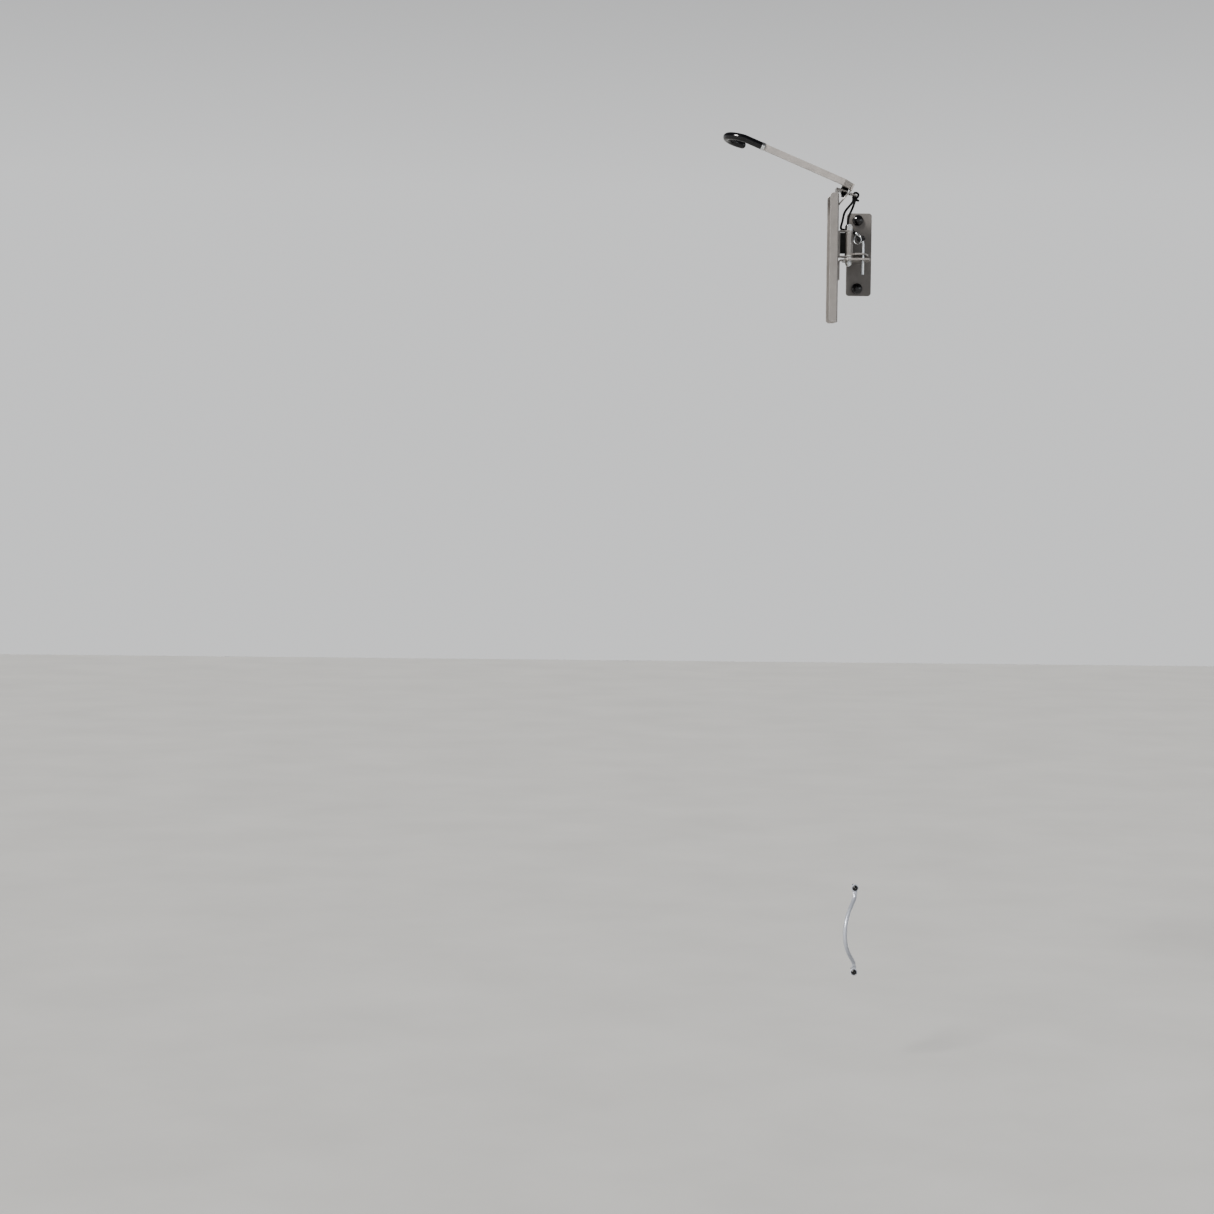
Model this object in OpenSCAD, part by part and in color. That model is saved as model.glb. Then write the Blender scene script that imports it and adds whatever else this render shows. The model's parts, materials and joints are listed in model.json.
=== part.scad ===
// Swinging wall rack that stores a bicycle upright.
// A hook on an arm holds the front rim, a tall tray takes the tyre, and the whole
// head swings on a wall hinge. A separate bowed bar keeps the rear tyre off the wall.
// Millimetres. Origin: centre of the wall plate's back face. +X right, +Y into the wall, +Z up.

/* [Wall plate] */
// Width of the plate screwed to the wall
plate_w = 40; // [36:1:60]
// Height of the plate
plate_h = 132; // [126:1:180]
// Plate thickness
plate_t = 3; // [2:0.5:4]
// Corner radius of the plate
plate_corner = 5; // [2:1:8]
// Distance between the two wall screws
screw_gap = 109; // [100:1:110]
// Wall screws sit this far left of the plate's middle
screw_shift = 2.6; // [0:0.1:4]
// Diameter of the wall screws' shanks
screw_d = 5; // [4:0.5:5]
// How far the wall screws reach into the wall
screw_reach = 45; // [30:5:60]
// Diameter of the domed screw caps
cap_d = 17.2; // [17:0.1:20]

/* [Hinge] */
// Distance from the wall to the hinge axis
standoff = 70; // [64:1:90]
// Hinge axis, measured left from the plate's middle
axis_left = 23.5; // [23:0.1:25]
// Outer diameter of the hinge tube
tube_d = 12; // [12:0.1:12.4]
// Length of the hinge tube
tube_len = 35.2; // [34:0.1:40]
// Diameter of the hinge bolt
bolt_d = 6; // [5:0.5:6]
// Width of the clevis strap
strap_w = 14.4; // [13:0.1:15]
// Thickness of the clevis, index plate and tail straps
strap_t = 2.5; // [2:0.1:3]

/* [Swing stop] */
// Distance from the hinge axis to the lock pin
pin_reach = 23; // [22.5:0.1:24]
// Diameter of the lock pin
pin_d = 4; // [3:0.5:4]
// How far the rack swings out from the wall, in degrees
swing = 90; // [60:1:92]
// Depth of the index plate, along the wall's normal
index_depth = 56; // [55:1:60]

/* [Tyre tray] */
// Height of the tyre tray
tray_h = 200.6; // [190:1:240]
// Width of the tray across its two flanges
tray_w = 56; // [54:1:62]
// Depth of the flanges that stand beside the tyre
flange_depth = 13.1; // [11:0.1:20]
// Sheet thickness of the tray
sheet = 2.5; // [2:0.1:2.5]

/* [Arm and hook] */
// Length of the arm from the hook's collar to its bend
arm_len = 136; // [120:1:150]
// Height of the arm's bar, seen from the front
arm_h = 10; // [9:0.5:10]
// Thickness of the arm's bar
arm_t = 7; // [7:0.5:8]
// Steepness of the arm, in degrees
arm_slope = 22.9; // [21:0.1:24]
// Outer diameter of the hook's soft sleeve
sleeve_d = 11.6; // [9:0.1:12]
// Distance between the hook's two legs, centre to centre
hook_gap = 49; // [44:1:54]
// Straight part of the hook's free leg
hook_tip = 3; // [2:1:12]

/* [Rear bumper] */
// Distance between the bumper bar's two screws
bumper_span = 138.2; // [120:1:160]
// Diameter of the bumper bar
bumper_d = 6.4; // [5:0.1:7]
// How far the bumper's middle stands off the wall
bumper_out = 37; // [30:1:42]
// How far the bumper's middle leans to the left
bumper_lean = 18.6; // [10:0.1:22]
// Height of the bumper's middle below the plate's middle
bumper_drop = 1094; // [900:1:1300]

/* [Hidden] */
round = 64; // facets of a plain round, which the solid keeps as a true curve
nothing = 0.01; // overshoot that keeps a cut clean
beyond = 1; // overshoot of a bore or cutter
hole_clear = 0.1; // radial clearance of a bolt in a hole
screw_clear = 0.3; // radial clearance of a screw in a hole
running = 0.06; // radial clearance of the hinge bolt in its bushes
end_play = 0.05; // clearance at each end of the hinge tube
slip = 0.1; // radial clearance of the lock pin in the lug
lap = 0.3; // how far a straight length of bar runs into the bend beside it
swell = 0.02; // how much thicker a bar is through a bend

// hinge, in a frame whose origin is the hinge axis level with the plate's middle
tube_bottom = -7.5;
tube_top = tube_bottom + tube_len;
bush_flange = 1.2;
bush_len = 12;
bush_r = 4.5;
fork_low = tube_bottom - bush_flange - end_play;
fork_high = tube_top + bush_flange + end_play;
strap_half = strap_w / 2;
strap_face = -14; // outer face of the straps on the tray's back
rib_face = strap_face - strap_t; // the tray's rib, which the straps lie on
fork_bend = 3;
washer_t = 1.2;
washer_r = 6.2;
spacer_t = 3; // ring between the clevis and the index plate
nut_flats = 10;
nut_h = 6.5;
nut_collar_r = 4.6;
nut_collar_h = 1.5;
dome_r = 5;
dome_neck = 3.5;
bolt_short = 0.6; // the bolt ends this far inside the nut
key_flats = 4;
key_deep = 3;
nut_low = fork_high + strap_t + washer_t;
nut_high = nut_low + nut_h + nut_collar_h;
nut_cone_low_r = 12;
nut_cone_top_r = 5.2;
insert_r = 3.9;
insert_low = nut_high - 2;
insert_high = nut_high - 0.3;
index_top = fork_low - strap_t - spacer_t;
index_low = index_top - strap_t;
index_right = 32.3;
index_left = -7.7;
index_corner = 5;
leg_low = -46.7;
leg_bend = 5;
slot_clear = 0.35;
pin_angle = -6.3; // where the pin stands around the axis, seen from above
buffer_half = 4;
buffer_low = -4.6;
buffer_high = 27.4;
buffer_front = 5; // its front edges stand this far behind the hinge axis
buffer_seat = 7; // radius of the hollow round the tube
clevis_rivets = [0, 20]; // heights of the rivets
index_rivets = [-28, -40];
rivet_r = 2.5;
rivet_head_r = 3.9;
rivet_head_t = 1.4;

// fixed bracket and its screws
screw_washer_t = 1.5;
screw_washer_r = 7.4;
screw_head_r = 5;
screw_head_h = 3.5;
screw_skirt = 2;
screw_waist = 0.2; // how much thinner a screw is where it passes through its piece
screw_waist_end = 0.6; // the waist ends this far inside the wall
screw_tip_r = 0.3;
cap_skirt = 3;
cap_rise = 5.4;
cap_clear = 0.2;
web_t = 3;
web_left = axis_left - plate_w / 2; // the web rises from the plate's left edge
web_low = -7;
web_high = 26;
lug_top = -4.9;
lug_t = 2.5;
lug_right = 33.2;
lug_shoulder = 15; // in front of this the lug narrows to its nose
lug_nose = [25.6, -15];
lug_corner = 3.3;
lug_start = 4;
sweep_r = 17.9; // the swinging clevis passes inside this radius
sweep_angle = -50;

// tray
tray_top = 87.8;
tray_bottom = tray_top - tray_h;
web_back = -18.7; // back face of the tray's web
web_front = web_back - sheet;
flange_edge = web_back - flange_depth;
fold_r = 3;
edge_r = 5;
groove_half = strap_half - sheet;
groove_floor = rib_face - sheet;
tongue_half = 14;
tongue_slope = 18;
tongue_reach = 32;
tongue_fold_z = 95.3;
tongue_taper = 14; // where it starts to narrow
tongue_tip_r = 7;
lanyard_hole_x = 27;
lanyard_hole_r = 2.6;

// arm, in a frame that starts at its bend and runs down to its end plate
arm_bend = [-10.9, 103.5];
arm_y = -29.5;
arm_front = arm_y - arm_t / 2;
arm_back = arm_y + arm_t / 2;
arm_tip_x = 14.35;
arm_edge = 1.2;
tab_gap = 4.5;
tab_start = 5;
tab_len = 11;
tab_half = 9;
tab_t = 2.5;
tab_root = arm_front + arm_tip_x; // the tab starts inside the arm's angled end
arm_bolt_x = 11;
arm_bolt_r = 2.5;
arm_bolt_clear = 0.2;
arm_head_r = 4.5;
arm_head_h = 2.8;
arm_nut_flats = 8;
arm_nut_h = 4;
arm_bolt_end = 8.5;
tail_foot = [-16.5, 71.8];
tail_knee = [1.4, 92.5];
tail_top = [5.6, 102.4];
tail_half = 6;
tail_front = 15; // the brace's lower part reaches this far to the front
tail_wide = 20;
tail_clear = 0.4; // side clearance of the tail in the tongue's notch
tail_slot_x = 16;
tail_slot_w = 5;

// hook
rod_r = 3;
socket_deep = 14;
collar_len = 5;
collar_r = 6.1;
hook_dip_r = 20;
hook_dip = 8.2;
hook_roll = 4;
hook_lead = 33;
sleeve_tip = 5; // rise of the sleeve's rounded end

// lock pin and its ring
pin_low = -37.4;
pin_straight = 46;
pin_bend_r = 18;
pin_lean = 57;
pin_handle = 5;
pin_tip = 1.4;
pin_lean_way = 197.6; // direction the pin's top leans to, seen from above
shoulder_r = 2.9;
shoulder_h = 1.6;
ring_r = 7.5;
ring_wire = 0.8;
ring_top = [13.84, -5.38, 24.5]; // middle of the ring's hole in the pin's handle
ring_hole_r = 1.25;
ring_turn = 131.3; // turn of the ring's plane about the vertical
pin_spot = [pin_reach * cos(pin_angle), pin_reach * sin(pin_angle), 0];
cord_r = 1.7;
wrap_r = 3.75; // radius of the lashing's turns
wrap_angles = [29, 38]; // where the lashing's turns stand round the pin's bend

// points along the cord, in the hinge's frame: from the pin up to the tongue, through
// its hole, and down again round the back of the nut to the pin
cord_route = [
  [15.8, 3, 21.1], [14.2, 4.2, 23.8], [11.6, 5.4, 26.8], [8.2, 6.6, 30.6], [3.5, 7.9, 35],
  [0, 8.2, 40], [-0.8, 7.4, 46], [1, 5.6, 55.3], [5.8, 3.6, 67], [8.8, 2.2, 76],
  [10.6, 2, 81.5], [13.9, 1, 84.9], [14.3, 0, 88.4], [11.1, -0.3, 90.6], [7.9, -0.4, 89.8],
  [6.7, -0.5, 86.8], [6.9, -1.6, 82.8], [6.6, -1.9, 78], [3, -1.6, 72.6], [-6.3, 1, 60.6],
  [-10, 3, 45.5], [-12, 4.2, 37.4], [-10.6, 6.4, 34.2], [-5.6, 9, 33.6], [0.5, 10.2, 33.4],
  [5.6, 10.6, 31.8], [9.6, 10, 28.4], [13.2, 8.6, 24.2], [16.4, 6.6, 19.8], [18.9, 4, 16.5]
];
rings_per_leg = 3;
cord_sides = 8;
cord_line = [
  for (i = [0:len(cord_route) - 2], k = [0:rings_per_leg - 1])
    smooth(route_at(i - 1), route_at(i), route_at(i + 1), route_at(i + 2), k / rings_per_leg),
  route_at(len(cord_route) - 1)
];
knot_centre = [8.4, 0, 81.2];
knot_r = 3.7;
knot_loop_r = 3.2;
knot_tail = 8;

// rear bumper
bumper_x = 9.6;
bumper_angle = 60;
bumper_foot = 10;
bumper_foot_r = 14;
eye_r = 6;
eye_t = 3;
eye_neck = 9; // from the eye's centre to where the round bar starts
eye_len = 12; // from the eye's centre to the end of its flat neck, inside the bar
bumper_screw_r = 2;
bumper_screw_reach = 32;
bumper_head_r = 4.5;
bumper_head_h = 3.4;
bumper_head_skirt = 1;
bumper_r = bumper_d / 2;
bumper_lift = 0.1; // the bar stands this far off the wall beside its eyes
bow_tip = 2;
eye_root = 5; // half widths of the eye's neck, at the eye and at the bar
eye_tip = 2.4;
bulge_y = bumper_out - bumper_r;
bulge = sqrt(bumper_lean * bumper_lean + bulge_y * bulge_y);
bow_a = bumper_span / 2 - bumper_foot - bumper_foot_r * sin(bumper_angle);
bow_b = bulge - bumper_foot_r * (1 - cos(bumper_angle));
bow_r = (bow_a * sin(bumper_angle) - bow_b * cos(bumper_angle)) / (1 - cos(bumper_angle));
bow_side = (bow_b - bow_r * (1 - cos(bumper_angle))) / sin(bumper_angle);

bare_steel = [0.74, 0.75, 0.76];
champagne = [0.66, 0.61, 0.58];
silver_paint = [0.74, 0.73, 0.72];
soft_black = [0.04, 0.04, 0.045];
pale_nylon = [0.86, 0.85, 0.82];

// ---- shared shapes -------------------------------------------------------------

// moves a piece from the hinge's frame to the part's frame
module at_hinge() {
  translate([-axis_left, -standoff, 0]) children();
}

// solid round disc or bar along +Z
module disc(r, low, high) {
  translate([0, 0, low]) cylinder(r = r, h = high - low, $fn = round);
}

// rounded rectangle between two corners
module rounded_box_2d(low, high, r) {
  translate([low[0] + r, low[1]]) square([high[0] - low[0] - 2 * r, high[1] - low[1]]);
  translate([low[0], low[1] + r]) square([high[0] - low[0], high[1] - low[1] - 2 * r]);
  for (x = [low[0] + r, high[0] - r], z = [low[1] + r, high[1] - r]) {
    translate([x, z]) circle(r = r, $fn = round);
  }
}

// a shape drawn in X and Z, made solid from y = low to y = high
module across(low, high) {
  translate([0, high, 0]) rotate([90, 0, 0]) linear_extrude(height = high - low) children();
}

// a shape drawn in X and Y, made solid from z = low to z = high
module upright(low, high) {
  translate([0, 0, low]) linear_extrude(height = high - low) children();
}

// hexagonal prism with this distance across its flats
module hex(flats, low, high) {
  translate([0, 0, low]) cylinder(r = flats / sqrt(3), h = high - low, $fn = 6);
}

// straight round bar along +X, lapped into its neighbours, and whatever follows it
module run(r, len) {
  translate([-lap, 0, 0]) rotate([0, 90, 0]) cylinder(r = r, h = len + 2 * lap, $fn = round);
  translate([len, 0, 0]) children();
}

// round bar bent from +X towards +Y, and whatever follows it. Bending swells it a hair.
module turn(r, bend_r, angle) {
  translate([0, bend_r, 0]) {
    rotate([0, 0, -90]) rotate_extrude(angle = angle, $fn = round)
      translate([bend_r, 0]) circle(r = r + swell, $fn = round);
    rotate([0, 0, angle]) translate([0, -bend_r, 0]) children();
  }
}

// rounded end of a run
module tip(r, height) {
  translate([lap, 0, 0]) rotate([0, 90, 0]) dome(r, height);
}

// spherical cap that rises from z = 0, on a straight skirt
module dome(r, height, skirt = 0) {
  ball = (r * r + height * height) / (2 * height);
  intersection() {
    translate([0, 0, height - ball]) sphere(r = ball, $fn = round);
    disc(r, -skirt, height);
  }
}

// places a child's +Z along -Y, out of the wall, at a point on the wall
module out_of_wall(x, z) {
  translate([x, 0, z]) rotate([90, 0, 0]) children();
}

module at_wall_screws() {
  for (side = [-1, 1]) out_of_wall(-screw_shift, side * screw_gap / 2) children();
}

module at_bumper_screws() {
  for (side = [-1, 1]) out_of_wall(bumper_x, side * bumper_span / 2 - bumper_drop) children();
}

// wood screw below its head: waist in the plate, shank in the wall, point
module screw_shank(r, head_low, reach) {
  point = 2 * r;
  disc(r - screw_waist, -screw_waist_end, head_low);
  disc(r, -reach + point, -screw_waist_end);
  translate([0, 0, -reach]) cylinder(r1 = screw_tip_r, r2 = r, h = point, $fn = round);
}

// ---- fixed to the wall ---------------------------------------------------------

module wall_plate() {
  color(champagne) difference() {
    across(-plate_t, 0)
      rounded_box_2d([-plate_w / 2, -plate_h / 2], [plate_w / 2, plate_h / 2], plate_corner);
    at_wall_screws() disc(screw_d / 2 + screw_clear, -nothing, plate_t + nothing);
  }
}

// upright web that carries the hinge tube off the plate
module hinge_web() {
  color(champagne) at_hinge() difference() {
    translate([web_left, 0, web_low])
      cube([web_t, standoff - plate_t, web_high - web_low]);
    disc(tube_d / 2, web_low - beyond, web_high + beyond);
  }
}

// plan of the lug that guides the lock pin, open where the clevis sweeps past
module lug_plan() {
  wall = standoff - plate_t;
  side = web_left + web_t;
  difference() {
    polygon([[side, wall], [lug_right, wall], [lug_right, lug_shoulder],
      lug_nose + [0, lug_corner], lug_nose - [lug_corner, 0], [lug_start, lug_nose[1]], [0, 0],
      [side, 0]]);
    circle(r = tube_d / 2, $fn = round);
    intersection() {
      circle(r = sweep_r, $fn = round);
      // the side of the axis where the clevis passes
      rotate(sweep_angle) translate([-sweep_r, -2 * sweep_r]) square([3 * sweep_r, 2 * sweep_r]);
    }
    rotate(pin_angle) translate([pin_reach, 0]) circle(r = pin_d / 2 + slip, $fn = round);
  }
}

module stop_lug() {
  color(champagne) at_hinge() upright(lug_top - lug_t, lug_top) lug_plan();
}

module hinge_tube() {
  color(champagne) at_hinge() difference() {
    disc(tube_d / 2, tube_bottom, tube_top);
    disc(bush_r, tube_bottom - beyond, tube_top + beyond);
  }
}

// flanged liner, flange up
module bush() {
  difference() {
    union() {
      disc(tube_d / 2, 0, bush_flange);
      disc(bush_r, -bush_len, bush_flange);
    }
    disc(bolt_d / 2 + running, -bush_len - beyond, bush_flange + beyond);
  }
}

module hinge_bushes() {
  color(pale_nylon) at_hinge() {
    translate([0, 0, tube_top]) bush();
    translate([0, 0, tube_bottom]) mirror([0, 0, 1]) bush();
  }
}

module wall_screws() {
  color(bare_steel) at_wall_screws() {
    head_low = plate_t + screw_washer_t;
    screw_shank(screw_d / 2, head_low, screw_reach);
    translate([0, 0, head_low + screw_skirt])
      dome(screw_head_r, screw_head_h - screw_skirt, screw_skirt);
  }
}

module wall_washers() {
  color(bare_steel) at_wall_screws() difference() {
    disc(screw_washer_r, plate_t, plate_t + screw_washer_t);
    disc(screw_d / 2 + screw_clear, plate_t - beyond, plate_t + screw_washer_t + beyond);
  }
}

// hollow domed caps that hide the screw heads
module screw_caps() {
  washer_top = plate_t + screw_washer_t;
  color(soft_black) at_wall_screws() difference() {
    translate([0, 0, plate_t + cap_skirt]) dome(cap_d / 2, cap_rise, cap_skirt);
    disc(screw_washer_r + cap_clear, plate_t - beyond, washer_top + cap_clear);
    disc(screw_head_r + 2 * cap_clear, plate_t, washer_top + screw_head_h + cap_clear);
  }
}

// ---- rear bumper ---------------------------------------------------------------

// the bowed bar itself, from one eye's neck to the other's
module bow() {
  foot = bumper_foot - eye_neck;
  translate([bumper_x, -bumper_r - bumper_lift, bumper_span / 2 - bumper_drop])
    rotate([0, 90, 0]) rotate([atan2(-bumper_lean, -bulge_y), 0, 0]) translate([eye_neck, 0, 0]) {
      rotate([0, 0, 180]) tip(bumper_r, bow_tip);
      run(bumper_r, foot) turn(bumper_r, bumper_foot_r, bumper_angle)
        run(bumper_r, bow_side) rotate([180, 0, 0]) turn(bumper_r, bow_r, 2 * bumper_angle)
          run(bumper_r, bow_side) rotate([180, 0, 0]) turn(bumper_r, bumper_foot_r, bumper_angle)
            run(bumper_r, foot) tip(bumper_r, bow_tip);
    }
}

// flat eye at one end of the bar, with a neck that narrows to it
module eye() {
  linear_extrude(height = eye_t) {
    circle(r = eye_r, $fn = round);
    polygon([[0, -eye_root], [eye_len, -eye_tip], [eye_len, eye_tip], [0, eye_root]]);
  }
}

module bumper_bar() {
  color(silver_paint) difference() {
    union() {
      bow();
      for (side = [-1, 1]) out_of_wall(bumper_x, side * bumper_span / 2 - bumper_drop)
        rotate(-90 * side) eye();
    }
    at_bumper_screws() disc(bumper_screw_r + screw_clear, -beyond, 2 * bumper_d);
  }
}

module bumper_screws() {
  color(soft_black) at_bumper_screws() {
    screw_shank(bumper_screw_r, eye_t, bumper_screw_reach);
    translate([0, 0, eye_t + bumper_head_skirt])
      dome(bumper_head_r, bumper_head_h - bumper_head_skirt, bumper_head_skirt);
  }
}

// ---- swinging head: tray and hinge ---------------------------------------------

// cross-section of the tray: two flanges, a web and a pressed rib
module tray_section() {
  half = tray_w / 2;
  deep = 3 * fold_r;
  difference() {
    union() {
      intersection() {
        rounded_box_2d([flange_edge - deep, -half], [web_back, half], fold_r);
        translate([flange_edge, -half]) square([flange_depth, tray_w]);
      }
      translate([web_front, -strap_half]) square([rib_face - web_front, strap_w]);
    }
    rounded_box_2d([flange_edge - deep, -half + sheet], [web_front, half - sheet], fold_r - sheet);
    translate([web_front - beyond, -groove_half])
      square([groove_floor - web_front + beyond, 2 * groove_half]);
  }
}

// everything drawn in the tongue's own frame: +X down its slope, +Z off its upper side
module on_tongue() {
  translate([web_back, 0, tongue_fold_z]) rotate([0, tongue_slope, 0]) children();
}

module tongue_plan() {
  end = tongue_reach - tongue_tip_r;
  difference() {
    union() {
      polygon([[-tray_h / 2, -tongue_half], [tongue_taper, -tongue_half], [end, -tongue_tip_r],
        [end, tongue_tip_r], [tongue_taper, tongue_half], [-tray_h / 2, tongue_half]]);
      translate([end, 0]) circle(r = tongue_tip_r, $fn = round);
    }
    translate([lanyard_hole_x, 0]) circle(r = lanyard_hole_r, $fn = round);
    translate([arm_bolt_x, 0]) circle(r = arm_bolt_r + arm_bolt_clear, $fn = round);
    // notch for the arm's brace, open to the front
    translate([tail_slot_x, -tongue_half - beyond])
      square([tail_slot_w, tongue_half + beyond + tail_half + tail_clear]);
  }
}

// height of the tongue's middle layer at x, moved by side times half its thickness
function tongue_z(x, side) = tongue_fold_z - (x - web_back) * tan(tongue_slope)
  + side * sheet / 2 / cos(tongue_slope);

// side view of the tray's web rising and folding over into the tongue
module tongue_side() {
  far = web_back + tongue_reach;
  low = tray_top - beyond;
  polygon([[web_front, low], [web_back, low], [web_back, tongue_z(web_back, -1)],
    [far, tongue_z(far, -1)], [far, tongue_z(far, 1)], [web_front, tongue_z(web_front, 1)]]);
}

module tongue() {
  intersection() {
    across(-tray_w, tray_w) tongue_side();
    on_tongue() upright(-tray_h, tray_h) tongue_plan();
  }
}

// a child's +Z along +X, at each of these heights
module at_rivets(heights) {
  for (z = heights) translate([0, 0, z]) rotate([0, 90, 0]) children();
}

module tyre_tray() {
  color(champagne) at_hinge() difference() {
    union() {
      intersection() {
        upright(tray_bottom, tray_top) tray_section();
        across(-tray_w, tray_w) rounded_box_2d([flange_edge, tray_bottom],
          [rib_face + 2 * edge_r, tray_top], edge_r);
      }
      tongue();
    }
    at_rivets(concat(clevis_rivets, index_rivets))
      disc(rivet_r, groove_floor - beyond, rib_face + beyond);
  }
}

// plan of a clevis ear: straight from the tray, round about the bolt
module ear_plan() {
  translate([rib_face, -strap_half]) square([-rib_face, strap_w]);
  circle(r = strap_half, $fn = round);
}

module clevis() {
  low = fork_low - strap_t;
  high = fork_high + strap_t;
  color(champagne) at_hinge() difference() {
    intersection() {
      across(-strap_half, strap_half) difference() {
        rounded_box_2d([rib_face, low], [3 * strap_w, high], fork_bend);
        rounded_box_2d([strap_face, fork_low], [4 * strap_w, fork_high], fork_bend - strap_t);
      }
      upright(low, high) ear_plan();
    }
    disc(bolt_d / 2 + hole_clear, low - beyond, high + beyond);
    at_rivets(clevis_rivets) disc(rivet_r, rib_face - beyond, strap_face + beyond);
  }
}

// curved slot the lock pin runs in, as wide as the pin plus a little
module arc_slot() {
  half = pin_d / 2 + slot_clear;
  rotate(pin_angle - swing) {
    rotate_extrude(angle = swing, $fn = round)
      translate([pin_reach - half, index_low - beyond]) square([2 * half, strap_t + 2 * beyond]);
    for (a = [0, swing]) rotate(a) translate([pin_reach, 0, 0])
      disc(half, index_low - beyond, index_top + beyond);
  }
}

// side view of the leg on the tray's back and the strap that turns out from it
module leg_side() {
  below = leg_low - 2 * leg_bend;
  right = index_left + 2 * leg_bend;
  difference() {
    rounded_box_2d([rib_face, below - 2 * leg_bend], [right, index_top], leg_bend);
    rounded_box_2d([strap_face, below - 4 * leg_bend], [right + 4 * leg_bend, index_low],
      leg_bend - strap_t);
    translate([rib_face - beyond, below - 4 * leg_bend]) square([2 * right - 2 * rib_face, 6 * leg_bend]);
  }
}

module index_plate() {
  color(champagne) at_hinge() difference() {
    union() {
      across(-strap_half, strap_half) leg_side();
      upright(index_low, index_top)
        rounded_box_2d([index_left, -index_depth / 2], [index_right, index_depth / 2], index_corner);
    }
    disc(bolt_d / 2 + hole_clear, index_low - beyond, index_top + beyond);
    arc_slot();
    at_rivets(index_rivets) disc(rivet_r, rib_face - beyond, strap_face + beyond);
  }
}

// flush rivets that join both straps to the tray's rib
module tray_rivets() {
  color(champagne) at_hinge() at_rivets(concat(clevis_rivets, index_rivets)) {
    disc(rivet_r, groove_floor, strap_face);
    disc(rivet_head_r, groove_floor - rivet_head_t, groove_floor);
  }
}

// soft block inside the clevis, hollowed to follow the hinge tube
module hinge_buffer() {
  color(soft_black) at_hinge() difference() {
    translate([strap_face, -buffer_half, buffer_low])
      cube([-strap_face - buffer_front, 2 * buffer_half, buffer_high - buffer_low]);
    disc(buffer_seat, buffer_low - beyond, buffer_high + beyond);
  }
}

module hinge_bolt() {
  neck = index_low - dome_neck;
  color(bare_steel) at_hinge() difference() {
    union() {
      disc(bolt_d / 2, index_low, nut_high - bolt_short);
      disc(dome_r, neck, index_low);
      translate([0, 0, neck]) mirror([0, 0, 1]) dome(dome_r, dome_r);
    }
    hex(key_flats, neck - dome_r - beyond, neck - dome_r + key_deep);
  }
}

module hinge_nut() {
  color(bare_steel) at_hinge() difference() {
    union() {
      intersection() {
        hex(nut_flats, nut_low, nut_low + nut_h);
        // cone that chamfers the upper corners
        translate([0, 0, nut_low - nut_h])
          cylinder(r1 = nut_cone_low_r, r2 = nut_cone_top_r, h = 2 * nut_h, $fn = round);
      }
      disc(nut_collar_r, nut_low + nut_h - beyond, nut_high);
    }
    disc(bolt_d / 2, nut_low - beyond, nut_high + beyond);
    disc(insert_r, insert_low, insert_high);
  }
}

module nut_insert() {
  color(pale_nylon) at_hinge() difference() {
    disc(insert_r, insert_low, insert_high);
    disc(bolt_d / 2, nut_low, nut_high);
  }
}

module hinge_washers() {
  color(bare_steel) at_hinge() difference() {
    union() {
      disc(washer_r, nut_low - washer_t, nut_low);
      disc(washer_r, index_top, index_top + spacer_t);
    }
    disc(bolt_d / 2 + hole_clear, index_top - beyond, nut_low + beyond);
  }
}

// ---- swinging head: arm and hook -----------------------------------------------

// arm's own frame: origin at its bend, +X down towards the hinge, +Z across its height
module on_arm() {
  translate([arm_bend[0], 0, arm_bend[1]]) rotate([0, arm_slope, 0]) children();
}

// plan of the bar: straight beside the wheel, then angled in behind it
module arm_plan() {
  in = arm_tip_x; // the angled part runs in at 45 degrees
  inner = arm_t * tan(22.5);
  polygon([[-arm_len, arm_front], [0, arm_front], [in, arm_front + in],
    [in, arm_back + in + inner], [-inner, arm_back], [-arm_len, arm_back]]);
}

module arm_bar() {
  difference() {
    upright(-arm_h / 2, arm_h / 2) arm_plan();
    translate([-arm_len, arm_y, 0]) rotate([0, 90, 0]) disc(rod_r, -beyond, socket_deep);
  }
}

module hook_arm() {
  color(champagne) at_hinge() difference() {
    union() {
      on_arm() arm_bar();
      // flat tab that reaches in over the tongue
      on_tongue() translate([tab_start, tab_root, sheet / 2 + tab_gap])
        cube([tab_len, tab_half - tab_root, tab_t]);
    }
    on_tongue() translate([arm_bolt_x, 0, 0])
      disc(arm_bolt_r + arm_bolt_clear, 0, 2 * (tab_gap + tab_t));
  }
}

// direction square to the way from one X-Z point to another
function square_to(a, b) = let (way = (b - a) / norm(b - a)) [-way[1], way[0]];

// side view of the brace, a strap with one mitred bend
module tail_side() {
  start = tail_foot - (tail_knee - tail_foot) / 6;
  low = square_to(start, tail_knee) * strap_t / 2;
  high = square_to(tail_knee, tail_top) * strap_t / 2;
  mitre = (low + high) / (1 + low * high / (low * low));
  polygon([start + low, tail_knee + mitre, tail_top + high, tail_top - high, tail_knee - mitre,
    start - low]);
}

// brace from the arm's end, down through the tongue's notch, to the tray's back
module arm_tail() {
  color(champagne) at_hinge() difference() {
    across(-tail_wide, tail_half) tail_side();
    // the strap is narrow below its bend
    translate([web_front, -2 * tail_wide, 0])
      cube([tray_w, 2 * tail_wide - tail_front, tail_knee[1]]);
    // its foot lies on the tray's rib
    translate([rib_face - tray_w, -tray_w, 0]) cube([tray_w, 2 * tray_w, tray_top]);
    // the arm's end butts on its upper part
    on_arm() translate([0, -tray_w, -arm_h]) cube([arm_tip_x, 2 * tray_w, 2 * arm_h]);
  }
}

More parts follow.
